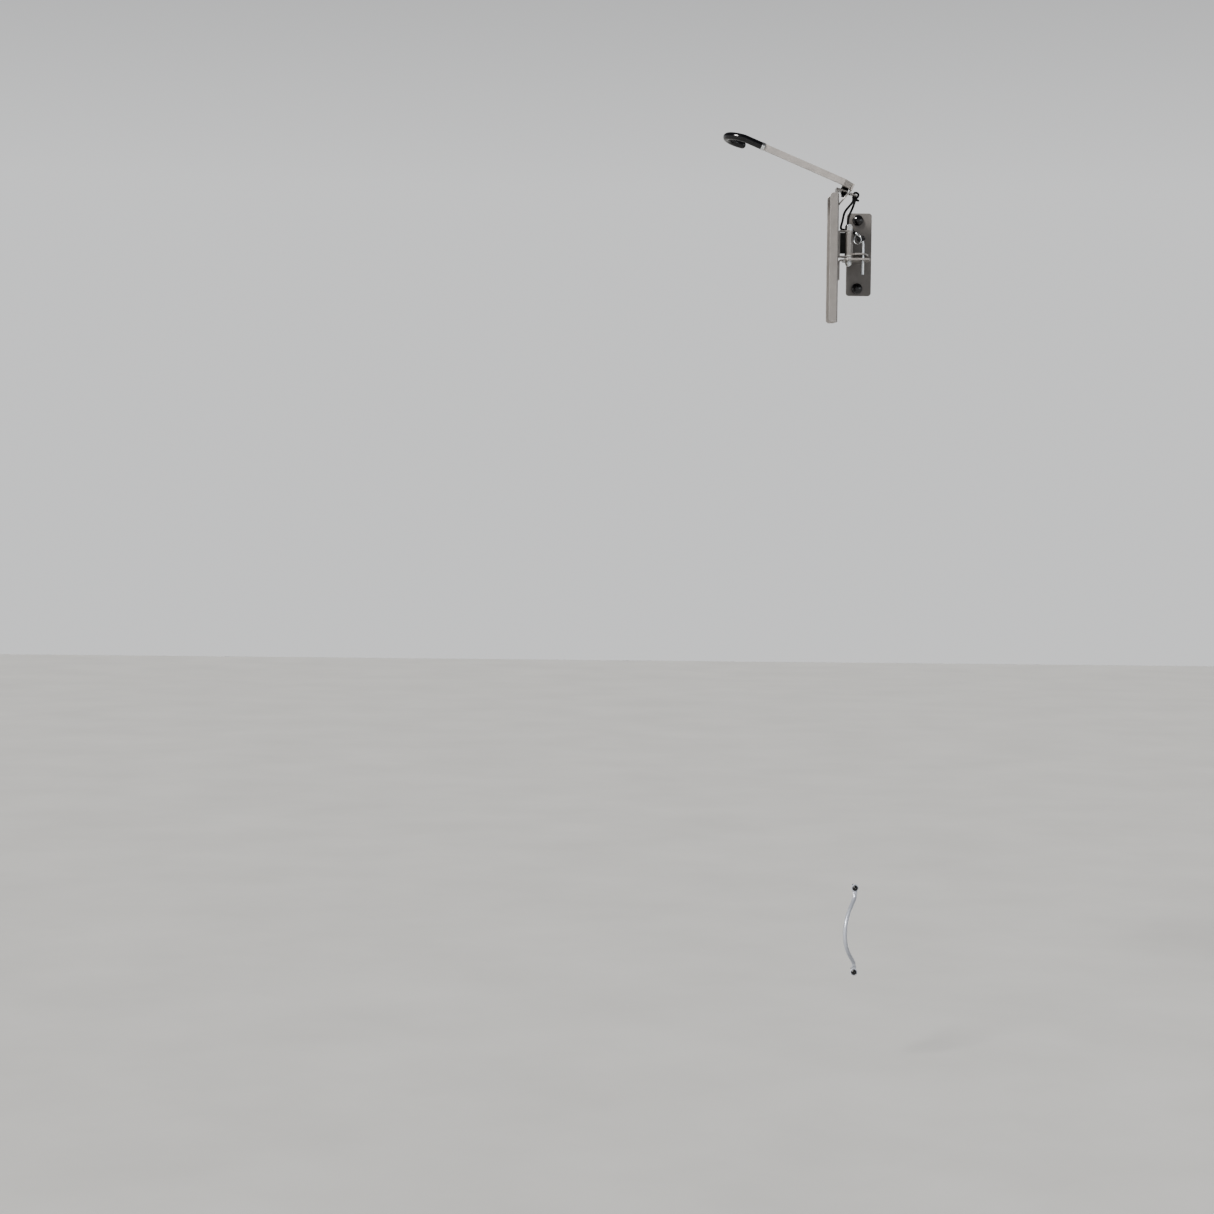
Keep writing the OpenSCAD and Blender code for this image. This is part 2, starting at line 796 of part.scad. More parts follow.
module arm_spacer() {
  color(soft_black) at_hinge() on_tongue() difference() {
    translate([tab_start, -tab_half, sheet / 2]) cube([tab_len, 2 * tab_half, tab_gap]);
    translate([arm_bolt_x, 0, 0]) disc(arm_bolt_r + arm_bolt_clear, 0, 2 * (tab_gap + tab_t));
  }
}

module arm_bolt() {
  seat = sheet / 2 + tab_gap + tab_t;
  color(soft_black) at_hinge() on_tongue() translate([arm_bolt_x, 0, 0]) {
    disc(arm_bolt_r, -arm_bolt_end, seat);
    translate([0, 0, seat]) dome(arm_head_r, arm_head_h);
  }
}

module arm_nut() {
  color(soft_black) at_hinge() on_tongue() translate([arm_bolt_x, 0, 0]) difference() {
    rotate(30) hex(arm_nut_flats, -sheet / 2 - arm_nut_h, -sheet / 2);
    disc(arm_bolt_r, -arm_nut_h - sheet, 0);
  }
}

// the hook's frame: starts at the arm's upper end, +X onward, +Y to the wall
module on_hook() {
  on_arm() translate([-arm_len, arm_y, 0]) rotate([0, 180, 0]) children();
}

// up beside the rim, round behind it and back down the far side
module hook_path(r) {
  run(r, hook_lead) rotate([90, 0, 0]) turn(r, hook_dip_r, hook_dip) rotate([hook_roll - 90, 0, 0])
    run(r, 1) turn(r, hook_gap / 2, 180) run(r, hook_tip) children();
}

module hook_rod() {
  color(bare_steel) at_hinge() on_hook() {
    hook_path(rod_r);
    rotate([0, 90, 0]) disc(rod_r, -socket_deep, -lap);
  }
}

module hook_sleeve() {
  color(soft_black) at_hinge() on_hook() difference() {
    hook_path(sleeve_d / 2) tip(sleeve_d / 2, sleeve_tip);
    hook_path(rod_r);
    rotate([0, 90, 0]) disc(sleeve_d, -beyond, collar_len);
  }
}

module hook_collar() {
  color(bare_steel) at_hinge() on_hook() rotate([0, 90, 0]) difference() {
    disc(collar_r, 0, collar_len);
    disc(rod_r, -beyond, collar_len + beyond);
  }
}

// ---- lanyard -------------------------------------------------------------------

// point t of the way from one route point to the next, on a smooth curve through all
function route_at(i) = cord_route[max(0, min(len(cord_route) - 1, i))];
function smooth(a, b, c, d, t) = (2 * b + (c - a) * t + (2 * a - 5 * b + 4 * c - d) * t * t
  + (3 * b - a - 3 * c + d) * t * t * t) / 2;

function unit(v) = v / norm(v);
function heading(i) = unit(cord_line[min(i + 1, len(cord_line) - 1)] - cord_line[max(i - 1, 0)]);

// eight points round the cord at one station
function cord_ring(i) =
  let (side = unit(cross(heading(i), [0, 1, 0])), up = cross(side, heading(i)))
  [for (k = [0:cord_sides - 1]) let (a = 360 * k / cord_sides)
    cord_line[i] + cord_r * (cos(a) * side + sin(a) * up)];

module lanyard() {
  stations = len(cord_line);
  last = (stations - 1) * cord_sides;
  color(soft_black) at_hinge() polyhedron(
    points = [for (i = [0:stations - 1], p = cord_ring(i)) p],
    faces = concat(
      [[for (k = [cord_sides - 1:-1:0]) k]],
      [[for (k = [0:cord_sides - 1]) last + k]],
      [for (i = [0:stations - 2], k = [0:cord_sides - 1])
        let (a = i * cord_sides, b = (k + 1) % cord_sides)
        [a + k, a + b, a + cord_sides + b, a + cord_sides + k]]
    )
  );
}

// knot under the tongue with a short tail
module lanyard_knot() {
  color(soft_black) at_hinge() translate(knot_centre) {
    sphere(r = knot_r, $fn = round);
    rotate([0, 25, 0])
      rotate_extrude($fn = round) translate([knot_loop_r, 0]) circle(r = cord_r, $fn = round);
    rotate([0, 115, 0]) cylinder(r = cord_r, h = knot_tail, $fn = round);
  }
}

// ---- lock pin ------------------------------------------------------------------

// the pin's frame: +X up its length, +Y the way its top leans
module on_pin() {
  translate(pin_spot) rotate([0, 0, pin_lean_way]) rotate([0, -90, 0]) rotate([-90, 0, 0])
    translate([pin_low, 0, 0]) children();
}

module pin_path() {
  run(pin_d / 2, pin_straight) turn(pin_d / 2, pin_bend_r, pin_lean) run(pin_d / 2, pin_handle)
    tip(pin_d / 2, pin_tip);
}

module lock_pin() {
  color(bare_steel) at_hinge() difference() {
    union() {
      on_pin() pin_path();
      translate(pin_spot) disc(shoulder_r, lug_top, lug_top + shoulder_h);
    }
    translate(ring_top) rotate([0, 0, ring_turn]) rotate([0, 90, 0])
      disc(ring_hole_r, -2 * pin_d, 2 * pin_d);
  }
}

// a place round the pin's bend, with its +X along the bar
module at_bend(angle) {
  translate([pin_straight, pin_bend_r, 0]) rotate([0, 0, angle]) translate([0, -pin_bend_r, 0])
    children();
}

// turns of cord lashed round the pin's bend
module pin_lashing() {
  color(soft_black) at_hinge() on_pin() for (angle = wrap_angles) at_bend(angle)
    rotate([0, 90, 0]) rotate_extrude($fn = round)
      translate([wrap_r, 0]) circle(r = cord_r, $fn = round);
}

// ring that hangs from the hole in the pin's handle
module pull_ring() {
  color(bare_steel) at_hinge() translate(ring_top - [0, 0, ring_r]) rotate([0, 0, ring_turn])
    rotate([90, 0, 0])
      rotate_extrude($fn = round) translate([ring_r, 0]) circle(r = ring_wire, $fn = round);
}

// ---- what is drawn -------------------------------------------------------------

wall_plate();
hinge_web();
stop_lug();
hinge_tube();
hinge_bushes();
wall_screws();
wall_washers();
screw_caps();
bumper_bar();
bumper_screws();
tyre_tray();
clevis();
index_plate();
tray_rivets();
hinge_buffer();
hinge_bolt();
hinge_nut();
nut_insert();
hinge_washers();
hook_arm();
arm_tail();
arm_spacer();
arm_bolt();
arm_nut();
hook_rod();
hook_sleeve();
hook_collar();
lanyard();
lanyard_knot();
lock_pin();
pin_lashing();
pull_ring();
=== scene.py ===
"""Swinging bicycle wall rack: materials, fine pieces, light and camera.

Metres, in the frame of the CAD model: +X right along the wall, +Y into the wall, +Z up.
"""

import json
import math
import random

import bmesh
import bpy
from mathutils import Matrix, Vector, noise


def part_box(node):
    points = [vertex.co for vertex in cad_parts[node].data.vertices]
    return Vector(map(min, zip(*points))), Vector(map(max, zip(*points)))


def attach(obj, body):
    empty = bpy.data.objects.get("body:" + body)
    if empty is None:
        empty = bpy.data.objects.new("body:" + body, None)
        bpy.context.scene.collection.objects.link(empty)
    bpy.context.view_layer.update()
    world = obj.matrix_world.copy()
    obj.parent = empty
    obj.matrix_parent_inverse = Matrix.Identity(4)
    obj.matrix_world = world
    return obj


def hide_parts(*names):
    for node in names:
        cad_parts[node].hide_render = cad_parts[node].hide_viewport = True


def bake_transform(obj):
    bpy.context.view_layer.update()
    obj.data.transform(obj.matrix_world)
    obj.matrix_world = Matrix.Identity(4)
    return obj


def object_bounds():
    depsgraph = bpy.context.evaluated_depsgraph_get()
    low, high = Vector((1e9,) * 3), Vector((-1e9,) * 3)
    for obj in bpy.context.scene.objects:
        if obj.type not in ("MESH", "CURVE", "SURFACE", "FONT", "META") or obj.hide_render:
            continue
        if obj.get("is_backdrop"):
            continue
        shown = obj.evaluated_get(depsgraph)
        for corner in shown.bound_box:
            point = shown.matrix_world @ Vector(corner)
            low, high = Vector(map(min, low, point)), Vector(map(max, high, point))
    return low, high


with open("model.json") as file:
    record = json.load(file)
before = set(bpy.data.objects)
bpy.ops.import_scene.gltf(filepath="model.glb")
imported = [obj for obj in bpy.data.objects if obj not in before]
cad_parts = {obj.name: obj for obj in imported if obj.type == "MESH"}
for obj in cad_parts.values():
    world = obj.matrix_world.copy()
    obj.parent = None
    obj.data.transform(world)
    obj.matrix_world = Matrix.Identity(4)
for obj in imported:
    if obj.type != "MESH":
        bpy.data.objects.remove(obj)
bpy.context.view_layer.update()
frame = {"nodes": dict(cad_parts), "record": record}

MM = 0.001

BLACK = (0.004, 0.004, 0.005)
# brightness of the powder coat: most pieces; the wall plate, darker as painted shade; and the arm with
# its tail, paler as painted light
COAT_TONE, PAINTED_SHADE_TONE, PAINTED_LIGHT_TONE = 0.27, 0.18, 0.40
BEVEL_SAMPLES = 6


def middle(node):
    low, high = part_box(node)
    return (low + high) / 2


# the hinge's axis, level with the middle of the wall plate
HINGE = Vector((middle("hinge_tube").x, middle("hinge_tube").y, 0))


# ---- materials -----------------------------------------------------------------

class Nodes:
    """A material's node tree with short helpers for the kinds of node used here."""

    def __init__(self, name, base, metallic, roughness, **more):
        self.material = bpy.data.materials.new(name)
        self.material.use_nodes = True
        self.tree = self.material.node_tree
        self.shader = self.tree.nodes["Principled BSDF"]
        self.shader.inputs["Base Color"].default_value = (*base, 1)
        self.shader.inputs["Metallic"].default_value = metallic
        self.shader.inputs["Roughness"].default_value = roughness
        for socket, value in more.items():
            self.shader.inputs[socket.replace("_", " ")].default_value = value
        self.place = self.add("ShaderNodeTexCoord").outputs["Object"]

    def add(self, kind, **settings):
        node = self.tree.nodes.new(kind)
        for key, value in settings.items():
            setattr(node, key, value)
        return node

    def link(self, a, b):
        self.tree.links.new(a, b)

    def noise(self, scale, detail=4, rough=0.55, stretch=None):
        """Noise in object space, `scale` per metre, stretched along an axis if asked."""
        node = self.add("ShaderNodeTexNoise")
        node.inputs["Scale"].default_value = scale
        node.inputs["Detail"].default_value = detail
        node.inputs["Roughness"].default_value = rough
        source = self.place
        if stretch:
            mapping = self.add("ShaderNodeMapping")
            mapping.inputs["Scale"].default_value = stretch
            self.link(source, mapping.inputs["Vector"])
            source = mapping.outputs["Vector"]
        self.link(source, node.inputs["Vector"])
        return node.outputs["Fac"]

    def ramp(self, source, stops):
        """Colour ramp over (position, colour) stops; a colour may be one grey number."""
        node = self.add("ShaderNodeValToRGB")
        elements = node.color_ramp.elements
        while len(elements) < len(stops):
            elements.new(0.5)
        for element, (position, colour) in zip(elements, stops):
            element.position = position
            grey = isinstance(colour, (int, float))
            element.color = (colour, colour, colour, 1) if grey else (*colour, 1)
        self.link(source, node.inputs["Fac"])
        return node.outputs["Color"]

    def mix(self, a, b, factor, blend="MIX"):
        """Colours a and b mixed by a socket or a number."""
        node = self.add("ShaderNodeMix", data_type="RGBA", blend_type=blend)
        for socket, value in ((node.inputs[6], a), (node.inputs[7], b), (node.inputs[0], factor)):
            if isinstance(value, bpy.types.NodeSocket):
                self.link(value, socket)
            elif isinstance(value, tuple):
                socket.default_value = (*value, 1)
            else:
                socket.default_value = value
        return node.outputs[2]

    def bump(self, height, strength, distance, under=None):
        node = self.add("ShaderNodeBump")
        node.inputs["Strength"].default_value = strength
        node.inputs["Distance"].default_value = distance
        self.link(height, node.inputs["Height"])
        if under is not None:
            self.link(under, node.inputs["Normal"])
        return node.outputs["Normal"]

    def soft_edge(self, radius):
        """Normals rounded over edges, as a coat or a tumbled part has."""
        node = self.add("ShaderNodeBevel", samples=BEVEL_SAMPLES)
        node.inputs["Radius"].default_value = radius
        return node.outputs["Normal"]

    def edge_highlight_mask(self, radius):
        """Painted highlight along edges: where the rounded normal leaves the flat one."""
        bevel = self.add("ShaderNodeBevel", samples=BEVEL_SAMPLES)
        bevel.inputs["Radius"].default_value = radius
        geometry = self.add("ShaderNodeNewGeometry")
        dot = self.add("ShaderNodeVectorMath", operation="DOT_PRODUCT")
        self.link(bevel.outputs["Normal"], dot.inputs[0])
        self.link(geometry.outputs["Normal"], dot.inputs[1])
        return self.ramp(dot.outputs["Value"], [(0.86, 1.0), (0.985, 0.0)])

    def into(self, socket, source):
        self.link(source, self.shader.inputs[socket])


def edge_highlight_share(m, edge, most):
    """The painted edge highlight broken up by noise, so it comes and goes along an edge."""
    node = m.add("ShaderNodeMath", operation="MULTIPLY")
    m.link(edge, node.inputs[0])
    m.link(m.ramp(m.noise(150, 4), [(0.35, 0.25 * most), (0.65, most)]), node.inputs[1])
    return node.outputs["Value"]


def champagne_coat(name, tone):
    """Warm grey metallic powder coat: fine orange peel, faint flake, painted highlights along the edges.
    """
    warm = (tone, 0.93 * tone, 0.875 * tone)
    m = Nodes(name, warm, 0.50, 0.40, Coat_Weight=0.15)
    m.shader.inputs["Coat Roughness"].default_value = 0.25
    mottle = m.noise(38, 5)
    flake = m.noise(2600, 2, 0.7)
    darker, paler = (tuple(share * c for c in warm) for share in (0.90, 1.10))
    base = m.ramp(mottle, [(0.3, darker), (0.7, paler)])
    base = m.mix(base, m.ramp(flake, [(0.35, 0.7 * tone), (0.72, 1.7 * tone)]), 0.16)
    # pale colour painted along every edge as the highlight of a lit rounded edge
    edge_highlight_colour = (0.78, 0.75, 0.72)
    m.into("Base Color", m.mix(base, edge_highlight_colour, edge_highlight_share(m, m.edge_highlight_mask(0.9 * MM), 0.80)))
    m.into("Roughness", m.ramp(m.noise(120, 4), [(0.3, 0.33), (0.7, 0.47)]))
    peel = m.bump(m.noise(900, 2), 0.10, 0.0002, m.soft_edge(0.5 * MM))
    m.into("Normal", m.bump(m.noise(60, 3), 0.06, 0.0006, peel))
    return m.material


def silver_coat():
    """Cooler satin paint of the rear bumper, with small scuffs."""
    m = Nodes("silver_coat", (0.42, 0.44, 0.49), 0.45, 0.33, Coat_Weight=0.2)
    base = m.ramp(m.noise(45, 5), [(0.3, (0.39, 0.41, 0.46)), (0.7, (0.48, 0.50, 0.55))])
    scuff = m.ramp(m.noise(160, 6, 0.7, (1, 1, 0.25)), [(0.60, 0.0), (0.70, 0.5)])
    m.into("Base Color", m.mix(base, (0.30, 0.30, 0.31), scuff))
    m.into("Roughness", m.ramp(m.noise(200, 4), [(0.3, 0.30), (0.7, 0.46)]))
    m.into("Normal", m.bump(m.noise(800, 2), 0.10, 0.0002, m.soft_edge(0.4 * MM)))
    return m.material


def zinc():
    """Bright zinc plate: turned lines, faint blue and straw passivation."""
    m = Nodes("zinc", (0.66, 0.69, 0.71), 1.0, 0.27)
    tint = m.ramp(m.noise(95, 4), [(0.3, (0.58, 0.63, 0.69)), (0.55, (0.70, 0.72, 0.73)),
                                   (0.75, (0.76, 0.74, 0.66))])
    m.into("Base Color", m.mix(tint, (0.33, 0.33, 0.33),
                               m.ramp(m.noise(420, 6), [(0.62, 0.0), (0.75, 0.55)])))
    m.into("Roughness", m.ramp(m.noise(350, 5), [(0.3, 0.20), (0.7, 0.40)]))
    lines = m.noise(1400, 2, 0.5, (0.15, 0.15, 1))
    m.into("Normal", m.bump(lines, 0.10, 0.0001, m.soft_edge(0.35 * MM)))
    return m.material


def black_gloss(name, roughness, coat):
    """Moulded black plastic or a screw's black plating, with dust here and there."""
    m = Nodes(name, BLACK, 0.0, roughness, Coat_Weight=coat)
    dust = m.ramp(m.noise(260, 6), [(0.5, 0.0), (0.85, 0.22)])
    m.into("Base Color", m.mix(BLACK, (0.040, 0.038, 0.036), dust))
    wear = [(0.3, roughness - 0.05), (0.75, roughness + 0.12)]
    m.into("Roughness", m.ramp(m.noise(300, 4), wear))
    m.into("Normal", m.bump(m.noise(500, 3), 0.08, 0.0002, m.soft_edge(0.5 * MM)))
    return m.material


def sleeve_rubber():
    """Thick black dip coat: glossy, slightly wavy, with faint runs and scuffs."""
    m = Nodes("sleeve_rubber", BLACK, 0.0, 0.20, Coat_Weight=0.25)
    m.shader.inputs["Coat Roughness"].default_value = 0.10
    scuff = m.ramp(m.noise(210, 6, 0.7), [(0.60, 0.0), (0.75, 0.35)])
    m.into("Base Color", m.mix(BLACK, (0.028, 0.028, 0.030), scuff))
    m.into("Roughness", m.ramp(m.noise(130, 5), [(0.35, 0.13), (0.7, 0.33)]))
    waves = m.bump(m.noise(75, 3), 0.16, 0.0008)
    m.into("Normal", m.bump(m.noise(650, 3), 0.05, 0.0002, waves))
    return m.material


def buffer_rubber():
    """Matt black rubber with a fine grain."""
    m = Nodes("buffer_rubber", (0.006, 0.006, 0.006), 0.0, 0.75)
    tones = [(0.3, (0.005, 0.005, 0.005)), (0.8, (0.018, 0.017, 0.017))]
    m.into("Base Color", m.ramp(m.noise(180, 5), tones))
    m.into("Roughness", m.ramp(m.noise(400, 4), [(0.3, 0.62), (0.7, 0.85)]))
    m.into("Normal", m.bump(m.noise(1500, 3), 0.30, 0.0003, m.soft_edge(0.6 * MM)))
    return m.material


def nylon():
    """Off-white nylon, a little see-through and greyed with use."""
    m = Nodes("nylon", (0.72, 0.71, 0.67), 0.0, 0.42, Subsurface_Weight=0.15)
    tones = [(0.35, (0.76, 0.75, 0.71)), (0.75, (0.50, 0.49, 0.46))]
    m.into("Base Color", m.ramp(m.noise(220, 5), tones))
    m.into("Roughness", m.ramp(m.noise(300, 4), [(0.3, 0.36), (0.7, 0.52)]))
    m.into("Normal", m.bump(m.noise(900, 2), 0.12, 0.0002, m.soft_edge(0.3 * MM)))
    return m.material


def cord_weave():
    """Braided black cord: two crossed sets of strands laid round its length."""
    m = Nodes("cord", (0.006, 0.006, 0.007), 0.0, 0.66, Sheen_Weight=0.05)
    uv = m.add("ShaderNodeTexCoord").outputs["UV"]
    strands = []
    for side in (1, -1):
        mapping = m.add("ShaderNodeMapping")
        mapping.inputs["Rotation"].default_value = (0, 0, side * math.radians(45))
        m.link(uv, mapping.inputs["Vector"])
        wave = m.add("ShaderNodeTexWave", wave_type="BANDS", bands_direction="X",
                     wave_profile="SIN")
        wave.inputs["Scale"].default_value = 1.8
        wave.inputs["Distortion"].default_value = 0.6
        m.link(mapping.outputs["Vector"], wave.inputs["Vector"])
        strands.append(wave.outputs["Fac"])
    weave = m.mix(strands[0], strands[1], 0.5, "LIGHTEN")
    crossed = m.mix(strands[0], strands[1], 1.0, "MULTIPLY")
    # base colour: painted shade in the grooves between strands, with the strands' crowns left lighter
    m.into("Base Color", m.ramp(crossed, [(0.1, BLACK), (0.9, (0.022, 0.022, 0.024))]))
    m.into("Roughness", m.ramp(m.noise(700, 4), [(0.3, 0.52), (0.7, 0.78)]))
    fuzz = m.bump(m.noise(4000, 3), 0.25, 0.0002)
    m.into("Normal", m.bump(weave, 0.8, 0.0004, fuzz))
    return m.material


def floor_finish():
    """Plain pale studio floor."""
    m = Nodes("pale_floor", (0.60, 0.60, 0.59), 0.0, 0.7)
    tones = [(0.3, (0.58, 0.58, 0.57)), (0.7, (0.63, 0.63, 0.62))]
    m.into("Base Color", m.ramp(m.noise(3, 4), tones))
    return m.material


MATERIALS = {
    "champagne_coat": champagne_coat("champagne_coat", COAT_TONE),
    "silver_coat": silver_coat(),
    "zinc": zinc(),
    "black_plastic": black_gloss("black_plastic", 0.20, 0.5),
    "black_screw": black_gloss("black_screw", 0.30, 0.2),
    "sleeve_rubber": sleeve_rubber(),
    "buffer_rubber": buffer_rubber(),
    "nylon": nylon(),
    "cord": cord_weave(),
}


def paint_cad_nodes():
    """Every CAD node takes the material its record names, but the wall plate takes a darker copy of the
    coat as painted shade, and the arm with its tail a paler copy as painted light.
    """
    slots = {s["node"]: s["material_slot"] for s in frame["record"]["subparts"]}
    # a darker copy of the coat painted as shade on the wall plate, and a paler copy painted as light on
    # the arm and its tail
    painted_shade_coat = champagne_coat("champagne_coat_painted_shade", PAINTED_SHADE_TONE)
    painted_light_coat = champagne_coat("champagne_coat_painted_light", PAINTED_LIGHT_TONE)
    painted_light_and_shade_coats = {"wall_plate": painted_shade_coat, "hook_arm": painted_light_coat, "arm_tail": painted_light_coat}
    for name, obj in frame["nodes"].items():
        material = painted_light_and_shade_coats.get(name, MATERIALS[slots[name]])
        if not obj.material_slots:
            obj.data.materials.append(material)
        for slot in obj.material_slots:
            slot.material = material


# ---- mesh helpers --------------------------------------------------------------

def finish_piece(name, mesh, slot, body=None, nodes=()):
    """Makes the object, smooths it, paints it and hangs it on its body."""
    for polygon in mesh.polygons:
        polygon.use_smooth = True
    obj = bpy.data.objects.new(name, mesh)
    bpy.context.scene.collection.objects.link(obj)
    mesh.materials.append(MATERIALS[slot])
    if nodes:
        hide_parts(*nodes)
    if body:
        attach(obj, body)
    return obj


def mesh_of(bm, name):
    """The bmesh's faces as a mesh; the bmesh is freed."""
    mesh = bpy.data.meshes.new(name)
    bm.to_mesh(mesh)
    bm.free()
    return mesh


def solid_of(bm, name):
    """The same, with every face turned outward."""
    bmesh.ops.recalc_face_normals(bm, faces=bm.faces)
    return mesh_of(bm, name)


def cap_ends(bm, rings):
    bm.faces.new(list(reversed(rings[0])))
    bm.faces.new(rings[-1])


def skin(bm, rings):
    """Faces between neighbouring rings, and a cap at each end."""
    count = len(rings[0])
    for a, b in zip(rings, rings[1:]):
        for k in range(count):
            n = (k + 1) % count
            bm.faces.new((a[k], a[n], b[n], b[k]))
    cap_ends(bm, rings)


def smooth_line(points, steps):
    """A smooth curve through the points, `steps` stations for each leg."""
    last = len(points) - 1
    line = []
    for i in range(last):
        a, b, c, d = (points[max(0, min(last, i + k))] for k in (-1, 0, 1, 2))
        for k in range(steps):
            t = k / steps
            line.append((2 * b + (c - a) * t + (2 * a - 5 * b + 4 * c - d) * t * t
                         + (3 * b - a - 3 * c + d) * t ** 3) / 2)
    line.append(points[last].copy())
    return line


def frames_along(line, closed=False):
    """A tangent and two side directions at each station, without twist."""
    count = len(line)
    tangents = []
    for i in range(count):
        before = line[i - 1] if i or closed else line[i]
        after = line[(i + 1) % count] if i < count - 1 or closed else line[i]
        tangents.append((after - before).normalized())
    side = tangents[0].orthogonal().normalized()
    frames = []
    for tangent in tangents:
        side = (side - tangent * side.dot(tangent)).normalized()
        frames.append((tangent, side, tangent.cross(side)))
    return frames


# the weave's coordinates: for each millimetre along a tube, and for once round it
WEAVE_PER_MM, WEAVE_ROUND = 0.5, 6


def tube_mesh(name, line, radius, sides=16, closed=False):
    """A tube along the line; radius is a number or a function of (station share, angle)."""
    bm = bmesh.new()
    uv = bm.loops.layers.uv.new("weave")
    rings = []
    travelled = [0.0]
    for a, b in zip(line, line[1:]):
        travelled.append(travelled[-1] + (b - a).length)
    for i, (point, (_, u, v)) in enumerate(zip(line, frames_along(line, closed))):
        ring = []
        for k in range(sides):
            angle = 2 * math.pi * k / sides
            r = radius(i / (len(line) - 1), angle) if callable(radius) else radius
            ring.append(bm.verts.new(point + (u * math.cos(angle) + v * math.sin(angle)) * r))
        rings.append(ring)
    for i in range(len(rings) if closed else len(rings) - 1):
        j = (i + 1) % len(rings)
        for k in range(sides):
            n = (k + 1) % sides
            face = bm.faces.new((rings[i][k], rings[i][n], rings[j][n], rings[j][k]))
            near, far = (place / MM for place in (travelled[i], travelled[j or -1]))
            corners = ((near, k), (near, k + 1), (far, k + 1), (far, k))
            for loop, (along, around) in zip(face.loops, corners):
                loop[uv].uv = (along * WEAVE_PER_MM, around * WEAVE_ROUND / sides)
    if not closed:
        cap_ends(bm, rings)
    return solid_of(bm, name)


def lathe_mesh(name, profile, sides=64):
    """A turned shape about +Z from (radius, height) points."""
    bm = bmesh.new()
    rings = []
    for radius, height in profile:
        if radius < 1e-7:
            rings.append([bm.verts.new((0, 0, height))])
            continue
        rings.append([bm.verts.new((radius * math.cos(2 * math.pi * k / sides),
                                    radius * math.sin(2 * math.pi * k / sides), height))
                      for k in range(sides)])
    for a, b in zip(rings, rings[1:]):
        for k in range(sides):
            n = (k + 1) % sides
            corners = [a[k % len(a)], a[n % len(a)], b[n % len(b)], b[k % len(b)]]
            unique = list(dict.fromkeys(corners))
            if len(unique) > 2:
                bm.faces.new(unique)
    return solid_of(bm, name)


def joined(name, meshes):
    """Several meshes, each with its placement, as one mesh."""
    bm = bmesh.new()
    for mesh, place in meshes:
        part = mesh.copy()
        part.transform(place)
        bm.from_mesh(part)
        bpy.data.meshes.remove(part)
    return mesh_of(bm, name)


def at_hinge(x, y, z):
    """A point given in millimetres in the hinge's own frame."""
    return HINGE + Vector((x, y, z)) * MM


# ---- screws --------------------------------------------------------------------

EYE_T = 3 * MM  # the bumper's eyes, which its screws' heads sit on


def screw_places(node, head_r):
    """Places of the two screws in a node: +Z out of the wall, one above the other."""
    low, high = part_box(node)
    x = (low.x + high.x) / 2
    out = Matrix.Rotation(math.radians(90), 4, "X")
    return [Matrix.Translation((x, 0, z)) @ out for z in (low.z + head_r, high.z - head_r)]


THREAD_STEPS = 20  # stations for each turn of a thread


def thread_mesh(name, core_r, thread_r, start, end, pitch):
    """A wood screw's thread: a ridge wound down the core, fading at both ends."""
    turns = (start - end) / pitch
    steps = int(turns * THREAD_STEPS)
    flank = 0.22 * pitch
    bm = bmesh.new()
    rings = []
    for i in range(steps + 1):
        share = i / steps
        angle = 2 * math.pi * turns * share
        z = start + (end - start) * share
        fade = min(1, share * 8, (1 - share) * 5)
        taper = min(1, (1 - share) * 6 + 0.25)
        core = core_r * taper * 0.9
        crest = core_r * taper + (thread_r - core_r) * fade * taper
        ring = []
        for r, dz in ((core, flank), (crest, 0), (core, -flank)):
            ring.append(bm.verts.new((r * math.cos(angle), r * math.sin(angle), z + dz)))
        rings.append(ring)
    skin(bm, rings)
    return solid_of(bm, name)


def wood_screw(name, shank_r, reach, seat, head):
    """Shank, thread and turned head of one screw. seat is the head's underside."""
    core, neck, crest = 0.72 * shank_r, 0.95 * shank_r, 0.99 * shank_r
    point = [(0, -reach), (0.35 * core, -reach + 0.8 * shank_r), (core, -reach + 2.4 * shank_r)]
    shank = [(core, -0.30 * reach), (neck, -0.27 * reach), (neck, seat)]
    body = lathe_mesh(name + "_body", point + shank + head)
    thread = thread_mesh(name + "_thread", core, crest, -0.28 * reach, -reach + shank_r, 0.9 * shank_r)
    return joined(name, [(body, Matrix.Identity(4)), (thread, Matrix.Identity(4))])


def dome_profile(r, low, height, recess_r, recess_deep):
    """Head of a domed screw with a round-bottomed drive recess."""
    profile = [(r * 0.93, low), (r, low + 0.12 * height), (r, low + 0.3 * height)]
    steps = 9
    for k in range(1, steps):
        angle = math.radians(90 * k / steps)
        profile.append((max(r * math.cos(angle), recess_r * 1.05),
                        low + height * (0.3 + 0.7 * math.sin(angle))))
    top = low + height
    profile += [(recess_r, top - 0.02 * height), (recess_r * 0.96, top - recess_deep),
                (0, top - 1.25 * recess_deep)]
    return profile


def screw_pair(name, screw, places, slot, node):
    """The same screw or cap at two places, as one piece that replaces a node."""
    finish_piece(name, joined(name, [(screw, place) for place in places]), slot, "wall", [node])


def wall_screws():
    low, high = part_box("wall_screws")
    washer_low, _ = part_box("wall_washers")
    shank_r, head_r = 2.5 * MM, 5 * MM
    seat, top = -washer_low.y, -low.y
    head = dome_profile(head_r, seat, top - seat, 1.7 * MM, 1.6 * MM)
    screw = wood_screw("wall_screw", shank_r, high.y, seat, head)
    screw_pair("wall_screw_pair", screw, screw_places("wall_screws", head_r), "zinc", "wall_screws")


def bumper_screws():
    low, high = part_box("bumper_screws")
    shank_r, head_r = 2 * MM, 4.5 * MM
    head = dome_profile(head_r, EYE_T, -low.y - EYE_T, 1.6 * MM, 1.5 * MM)
    screw = wood_screw("bumper_screw", shank_r, high.y, EYE_T, head)
    screw_pair("bumper_screw_pair", screw, screw_places("bumper_screws", head_r), "black_screw",
               "bumper_screws")


CAP_WALL = 1.0 * MM


